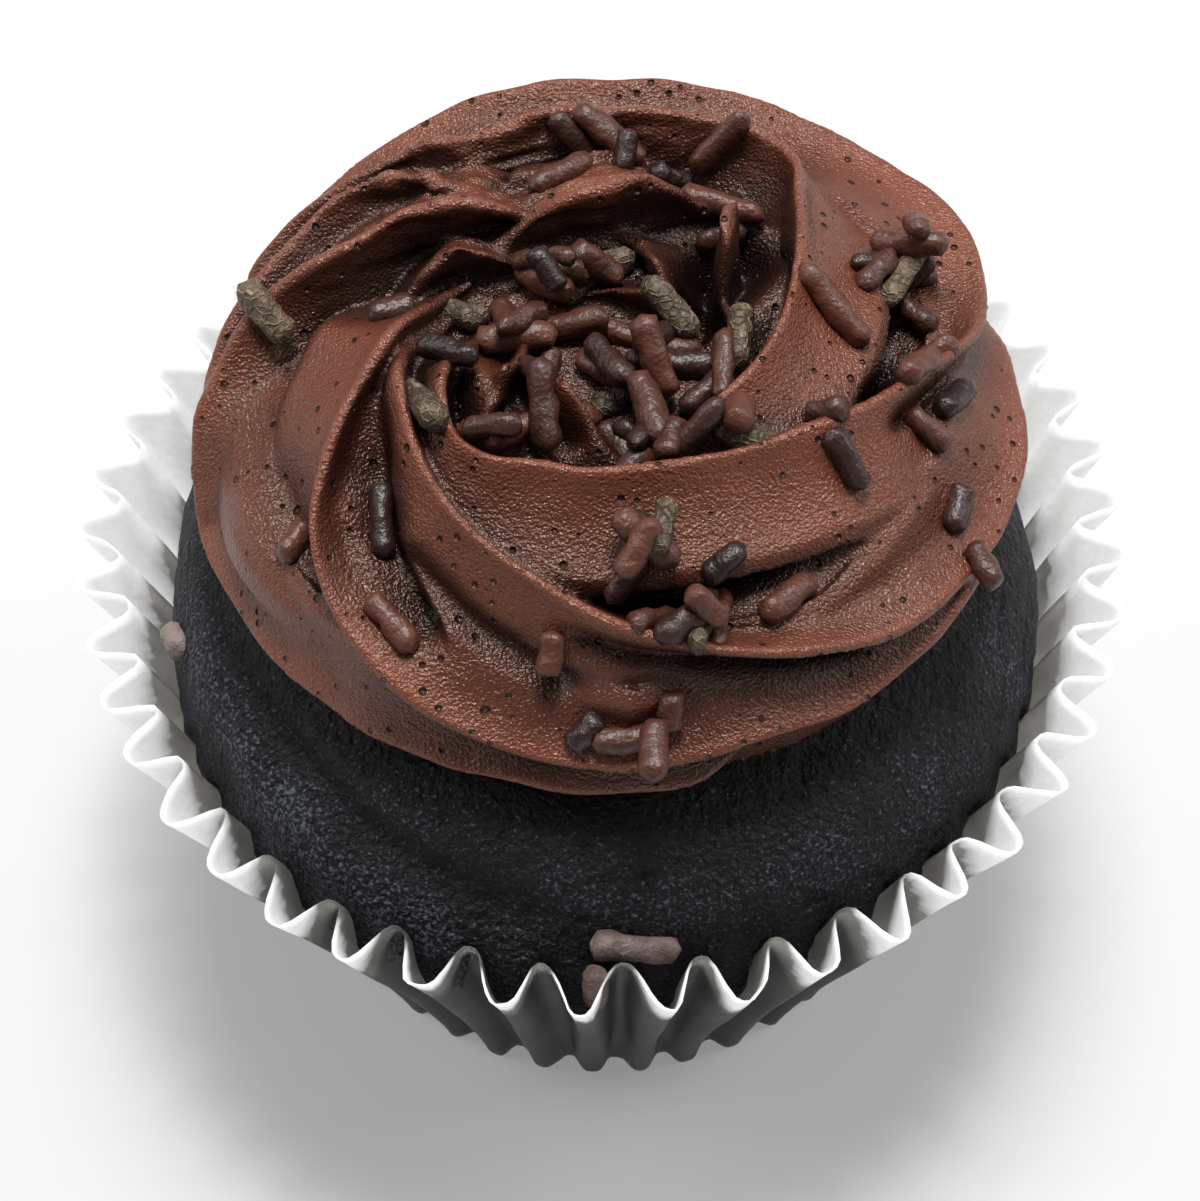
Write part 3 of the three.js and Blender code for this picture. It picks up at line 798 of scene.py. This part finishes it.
def layRod(surface, rods, x, y, heading, length, radius):
    s = sprinkleSettings
    run = Vector((math.cos(math.radians(heading)), math.sin(math.radians(heading)), 0))
    half = length / 2 - radius
    spots = []
    for share in (-1, -0.5, 0, 0.5, 1):
        px, py = x + run.x * half * share, y + run.y * half * share
        spots.append((half * share, max(surface(px, py), rodTop(rods, px, py))))
    slope = (spots[-1][1] - spots[0][1]) / (2 * half) if math.isfinite(spots[-1][1] - spots[0][1]) else 0
    slope = min(max(slope, -s["steepest"]), s["steepest"])
    supports = [z - slope * at for at, z in spots]
    base = max(supports) + radius - s["sink"]
    reach = length / 2 / math.hypot(1, slope)
    step = Vector((run.x * reach, run.y * reach, slope * reach))
    centre = Vector((x, y, base))
    sag = max(supports) - min(supports)
    return {"start": centre - step, "end": centre + step, "radius": radius, "sag": sag}


def surfaceOf(thing):
    tree = treeOf(thing)

    def height(x, y):
        hit = tree.ray_cast(Vector((x, y, 200)), Vector((0, 0, -1)))[0]
        return hit.z if hit else -math.inf
    return height


def scatterRods(surface):
    s = sprinkleSettings
    rods = []
    for x, y, heading, length, kind in strays:
        rod = layRod(surface, rods, x, y, heading, length, s["strayRadius"][kind])
        rods.append({**rod, "kind": kind})
    for number, patch in enumerate(patches):
        for i in range(patch["count"]):
            draws = Draws(s["seed"] + 1000 * number + i)
            for _ in range(s["tries"]):
                away, turn = math.sqrt(draws.next()), math.tau * draws.next()
                x = patch["at"][0] + patch["spread"][0] * away * math.cos(turn)
                y = patch["at"][1] + patch["spread"][1] * away * math.sin(turn)
                heading = 180 * draws.next()
                length, radius = draws.between(*s["length"]), draws.between(*s["radius"])
                rod = layRod(surface, rods, x, y, heading, length, radius)
                if rod["sag"] < s["sag"]:
                    draw = draws.next()
                    kind = next(kind for kind, upTo in s["kinds"] if draw < upTo)
                    rods.append({**rod, "kind": kind})
                    break
    return rods


def cakeRodsOn(surface):  # the last one stands in a flute of the case
    rods = []
    for azimuth, distance, heading, length in cakeRods:
        turn = math.radians(azimuth)
        x, y = distance * math.cos(turn), distance * math.sin(turn)
        rods.append(layRod(surface, [], x, y, heading, length, sprinkleSettings["cakeRadius"]))
    r = fluteRod
    x, y = math.cos(math.radians(r["azimuth"])), math.sin(math.radians(r["azimuth"]))
    foot = Vector((r["distance"] * x, r["distance"] * y, r["foot"]))
    head = foot + Vector((r["lean"] * x, r["lean"] * y, 1)) * r["length"]
    return rods + [{"start": foot, "end": head, "radius": r["radius"]}]


def rodTree(material):  # one lumpy rod on each point of the mesh, turned and sized by its attributes
    names = ("sides", "stations", "lumpSize", "lumpHeight", "seed")
    tree, nodes, given = groupTree("sprinkleRods", names, True)
    line = nodes.add("GeometryNodeCurvePrimitiveLine", None, {"Start": (0, 0, -1), "End": (0, 0, 1)})
    line = nodes.add("GeometryNodeResampleCurve", None, {"Curve": line, "Count": given["stations"]})
    along = nodes.add("GeometryNodeSplineParameter") * 2.0 - 1.0
    bulge = nodes.add("ShaderNodeMath", {"operation": "ABSOLUTE"}, {0: along}) ** 9.0
    girth = nodes.add("ShaderNodeMath", {"operation": "SQRT"}, {0: 1.04 - bulge})
    circle = nodes.add("GeometryNodeCurvePrimitiveCircle", None,
                       {"Resolution": given["sides"], "Radius": 1.0})
    rod = nodes.add("GeometryNodeCurveToMesh", None,
                    {"Curve": line, "Profile Curve": circle, "Scale": girth, "Fill Caps": True})
    turn = nodes.add("GeometryNodeInputNamedAttribute", {"data_type": "FLOAT_VECTOR"}, {"Name": "turn"})
    size = nodes.add("GeometryNodeInputNamedAttribute", {"data_type": "FLOAT_VECTOR"}, {"Name": "size"})
    placed = nodes.add("GeometryNodeInstanceOnPoints", None,
                       {"Points": given["Geometry"], "Instance": rod, "Rotation": turn, "Scale": size})
    real = nodes.add("GeometryNodeRealizeInstances", None, {0: placed})
    scale = 1.0 / (given["lumpSize"] * mm)
    noise = nodes.add("ShaderNodeTexNoise", {"noise_dimensions": "4D"},
                      {"W": given["seed"], "Scale": scale, "Detail": 2.0}, out="Color")
    push = nodes.add("ShaderNodeVectorMath", {"operation": "SUBTRACT"}, {0: noise, 1: (0.5, 0.5, 0.5)})
    push = nodes.add("ShaderNodeVectorMath", {"operation": "SCALE"}, {0: push, 3: given["lumpHeight"] * mm})
    lumpy = nodes.add("GeometryNodeSetPosition", None, {"Geometry": real, "Offset": push})
    smooth = nodes.add("GeometryNodeSetShadeSmooth", None, {"Geometry": lumpy, "Shade Smooth": True})
    dressed = nodes.add("GeometryNodeSetMaterial", None, {"Geometry": smooth, "Material": material})
    nodes.add("NodeGroupOutput", None, {0: dressed})
    return tree, names


def makeRods(name, rods, material, seed):
    centres = [((rod["start"] + rod["end"]) / 2)[:] for rod in rods]
    piece = meshObject(name, centres, [])
    turns, sizes, tints = [], [], []
    draws = Draws(900 + seed)
    for rod in rods:
        run = rod["end"] - rod["start"]
        turns += list(run.to_track_quat("Z", "X").to_euler())
        sizes += [rod["radius"] * mm, rod["radius"] * mm * draws.between(0.88, 1.05), run.length / 2 * mm]
        tints.append(draws.next())
    for attribute, values in (("turn", turns), ("size", sizes)):
        layer = piece.data.attributes.new(attribute, "FLOAT_VECTOR", "POINT")
        layer.data.foreach_set("vector", values)
    setAttribute(piece.data, "tint", tints)
    tree, names = rodTree(material)
    runTree(piece, tree, {each: {**sprinkleSettings, "seed": seed}[each] for each in names})
    print(name + ":", len(rods), "rods,", len(piece.data.polygons), "faces")
    return piece


# Materials

frostingFinish = {
    "colourIntoPaintedShade": (  # from the chocolate's own colour on open lips to painted shade in the troughs and under the lips
        (0.0, (0.144, 0.0405, 0.0216)),
        (0.2, (0.079, 0.0210, 0.0108)),
        (0.45, (0.039, 0.0098, 0.0051)),
        (0.75, (0.020, 0.0054, 0.0034)),
        (1.0, (0.007, 0.0023, 0.002)),
    ),
    # painted shade inside the pits
    "pitShadeColour": (0.010, 0.0035, 0.003, 1),
    "pits": ((760.0, 0.4, 0.27), (350.0, 0.62, 0.15)),  # cells to a metre, share left bare, widest in a cell
    "gloss": (1.0, 0.82, 0.71, 1),
}


def frostingMaterial():
    finish = frostingFinish
    material, nodes = newMaterial("frosting")
    place = nodes.add("ShaderNodeTexCoord", None, None, "Object")
    cloud = nodes.noise(place, 110.0, 3.0)
    # painted shade: the colour darkens where the surface lies deep or shut in
    base = nodes.ramp(nodes.attribute("hollow") + (cloud - 0.5) * 0.25, *finish["colourIntoPaintedShade"])
    pits = 0.0
    for scale, least, widest in finish["pits"]:
        cells = nodes.add("ShaderNodeTexVoronoi", None, {"Vector": place, "Scale": scale, "Randomness": 1.0})
        chosen = nodes.add("ShaderNodeSeparateColor", None, {0: nodes.more(cells, "Color")})
        width = nodes.spread(chosen, least, 1.0, 0.0, 1.0) ** 0.5 * widest
        pits = pits + nodes.spread(cells / (width + 0.0001), 0.45, 1.0, 1.0, 0.0)
    grain = nodes.noise(place, 4300.0, 1.0)
    coarse = nodes.noise(place, 2300.0, 2.0)
    shader = nodes.add("ShaderNodeBsdfPrincipled", None, {
        # the pits are dented by the relief and painted darker as shade in them
        "Base Color": nodes.blend(pits * 0.85, base, finish["pitShadeColour"]),
        "Roughness": 0.26 + coarse * 0.16,
        "Normal": nodes.relief(grain * 0.8 + coarse * 0.35 - pits * 3.4, 1.0, 0.23 * mm),
        "Specular IOR Level": 0.56,
        "Specular Tint": finish["gloss"],
    })
    finishMaterial(nodes, shader)
    return material


cakeFinish = {
    "crumb": ((0.3, (0.0022, 0.0022, 0.0030)), (0.72, (0.0060, 0.0060, 0.0076))),
    # light specks, partly the crumb's grain and partly painted glints
    "specks": (0.070, 0.078, 0.100, 1),
}


def cakeMaterial():
    material, nodes = newMaterial("crumb")
    place = nodes.add("ShaderNodeTexCoord", None, None, "Object")
    crust = nodes.attribute("crust")
    cloud = nodes.noise(place, 160.0, 4.0)
    base = nodes.ramp(cloud, *cakeFinish["crumb"])
    # painted light on the bulge and painted shade in the crease and under the frosting, through how many
    # light specks show
    specks = nodes.noise(place, 3200.0, 1.0) + (cloud - 0.5) * 0.35 + crust * 0.16
    fine = nodes.noise(place, 2400.0, 2.0)
    pores = nodes.add("ShaderNodeTexVoronoi", None, {"Vector": place, "Scale": 1100.0})
    shader = nodes.add("ShaderNodeBsdfPrincipled", None, {
        "Base Color": nodes.blend(nodes.spread(specks, 0.62, 0.78, 0.0, 0.9), base, cakeFinish["specks"]),
        "Roughness": 0.55 + cloud * 0.2,
        "Normal": nodes.relief(fine + pores * 0.5, 1.0, 0.5 * mm),
        "Specular IOR Level": 0.24,
    })
    finishMaterial(nodes, shader)
    return material


paperFinish = {
    "white": ((0.3, (0.80, 0.79, 0.775)), (0.7, (0.88, 0.875, 0.865))),
    "wet": ((0.3, (0.014, 0.0138, 0.0128)), (0.75, (0.045, 0.042, 0.038))),
    "glow": 3,  # how far light spreads in the sheet
}


def paperMaterial():
    material, nodes = newMaterial("paper")
    place = nodes.add("ShaderNodeTexCoord", None, None, "Object")
    fibres = nodes.noise(place, 1500.0, 4.0)
    mottle = nodes.noise(place, 140.0, 3.0)
    stained = nodes.spread(nodes.attribute("grease") + (mottle - 0.5) * 0.6, 0.25, 0.85, 0.0, 1.0)
    white = nodes.ramp(fibres, *paperFinish["white"])
    wet = nodes.ramp(mottle, *paperFinish["wet"])
    shader = nodes.add("ShaderNodeBsdfPrincipled", None, {
        "Base Color": nodes.blend(stained, white, wet),
        "Roughness": 0.78 - stained * 0.28,
        "Normal": nodes.relief(fibres, 0.25, 0.1 * mm),
        "Specular IOR Level": 0.2,
        "Subsurface Weight": 1.0,
        "Subsurface Radius": (1.0, 1.0, 1.0),
        "Subsurface Scale": paperFinish["glow"] * mm,
    })
    finishMaterial(nodes, shader)
    return material


sprinkleFinishes = {  # the deepest and lightest colour, how much pale bloom lies in cracks, and roughness
    "brown": ((0.020, 0.0062, 0.0040), (0.088, 0.0275, 0.0155), 0.0, 0.36),
    "dark": ((0.014, 0.0055, 0.0045), (0.042, 0.0150, 0.0105), 0.0, 0.32),
    "olive": ((0.034, 0.0205, 0.0115), (0.100, 0.066, 0.037), 0.6, 0.42),
    "pale": ((0.075, 0.042, 0.035), (0.25, 0.20, 0.178), 0.2, 0.5),
}


def sprinkleMaterial(kind):
    deep, light, bloom, roughness = sprinkleFinishes[kind]
    material, nodes = newMaterial(kind + "Sprinkle")
    place = nodes.add("ShaderNodeTexCoord", None, None, "Object")
    cloud = nodes.noise(place, 700.0, 3.0)
    base = nodes.ramp(nodes.attribute("tint") * 0.6 + cloud * 0.45, (0.25, deep), (0.8, light))
    cracks = nodes.add("ShaderNodeTexVoronoi", {"feature": "DISTANCE_TO_EDGE"},
                       {"Vector": place, "Scale": 1500.0})
    lines = nodes.spread(cracks, 0.0, 0.14, 1.0, 0.0)
    patch = nodes.spread(cloud, 0.48, 0.62, 0.0, 1.0)
    fine = nodes.noise(place, 2600.0, 2.0)
    shader = nodes.add("ShaderNodeBsdfPrincipled", None, {
        "Base Color": nodes.blend(lines * patch * bloom, base, (0.36, 0.27, 0.17, 1)),
        "Roughness": roughness + fine * 0.15,
        "Normal": nodes.relief(fine * 0.6 + cloud + lines * bloom, 0.8, 0.25 * mm),
        "Specular IOR Level": 0.45,
    })
    finishMaterial(nodes, shader)
    return material


# Camera, lights and floor

viewSettings = {
    "elevation": 57,
    "distance": 280,
    "target": (0, 0, 38),
    "lens": 102.9,
    "shift": (-0.0033, -0.0196),
    "floor": (0.42, 0.42, 0.417, 1),
    "floorGlow": 0.24,
    "floorReach": 3000,
    "lightTarget": (0, 0, 40),
    "sky": (0.95, 0.97, 1.0, 1),
    "skyStrength": 0.17,
}
lights = [  # place and size in metres, and power
    ("window", (0.02, 0.6, 2.0), 0.85, 47.0),
    ("lamp", (0.1, 0.35, 2.0), 0.25, 13.5),
    ("right", (1.5, 0.4, 1.1), 0.9, 14.0),
    ("left", (-1.5, 0.3, 1.1), 0.9, 12.0),
]


def floorMaterial():
    material, nodes = newMaterial("floor")
    shader = nodes.add("ShaderNodeBsdfPrincipled", None, {
        "Base Color": viewSettings["floor"], "Roughness": 0.9, "Specular IOR Level": 0.1,
        "Emission Color": (1, 1, 0.995, 1), "Emission Strength": viewSettings["floorGlow"],
    })
    finishMaterial(nodes, shader)
    return material


def makeStage():
    s = viewSettings
    camera = bpy.data.objects.new("camera", bpy.data.cameras.new("camera"))
    bpy.context.collection.objects.link(camera)
    tilt = math.radians(s["elevation"])
    away = Vector((0, -math.cos(tilt), math.sin(tilt)))
    camera.location = (Vector(s["target"]) + away * s["distance"]) * mm
    camera.rotation_euler = away.to_track_quat("Z", "Y").to_euler()
    camera.data.lens = s["lens"]
    camera.data.shift_x, camera.data.shift_y = s["shift"]
    camera.data.clip_start = 0.01
    bpy.context.scene.camera = camera
    reach = s["floorReach"]
    corners = [(-reach, -reach, 0), (reach, -reach, 0), (reach, reach, 0), (-reach, reach, 0)]
    floor = meshObject("floor", corners, [(0, 1, 2, 3)], floorMaterial())
    for name, place, size, power in lights:
        lamp = bpy.data.lights.new(name, "AREA")
        lamp.energy = power
        lamp.size = size
        light = bpy.data.objects.new(name, lamp)
        bpy.context.collection.objects.link(light)
        light.location = place
        aim = Vector(place) - Vector(s["lightTarget"]) * mm
        light.rotation_euler = aim.to_track_quat("Z", "Y").to_euler()
    world = bpy.data.worlds.new("studio")
    bpy.context.scene.world = world
    world.use_nodes = True
    sky = world.node_tree.nodes["Background"]
    sky.inputs["Color"].default_value = s["sky"]
    sky.inputs["Strength"].default_value = s["skyStrength"]
    bpy.context.scene.view_settings.view_transform = "Standard"
    print("stage set")


makeStage()
frosting = makeFrosting(frostingMaterial())
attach(frosting, "root")
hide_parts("frosting")

case = makeCase(paperMaterial())
cake = makeCake(cakeMaterial(), case)
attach(cake, "root")
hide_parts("cake")

cakeTree = treeOf(cake)
nearness = np.array([cakeTree.find_nearest(v.co / mm)[3] for v in case.data.vertices])
setAttribute(case.data, "grease", 1 - smoothStep(nearness, *caseSettings["greaseReach"]))
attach(case, "root")
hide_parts("paper_case")

rods = scatterRods(surfaceOf(frosting))
for seed, kind in enumerate(("brown", "dark", "olive")):
    chosen = [rod for rod in rods if rod["kind"] == kind]
    piece = makeRods(kind + "Sprinkles", chosen, sprinkleMaterial(kind), seed)
    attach(piece, "root")
    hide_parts("frosting")
piece = makeRods("cakeSprinkles", cakeRodsOn(surfaceOf(cake)), sprinkleMaterial("pale"), 9)
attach(piece, "root")
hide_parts("cake")
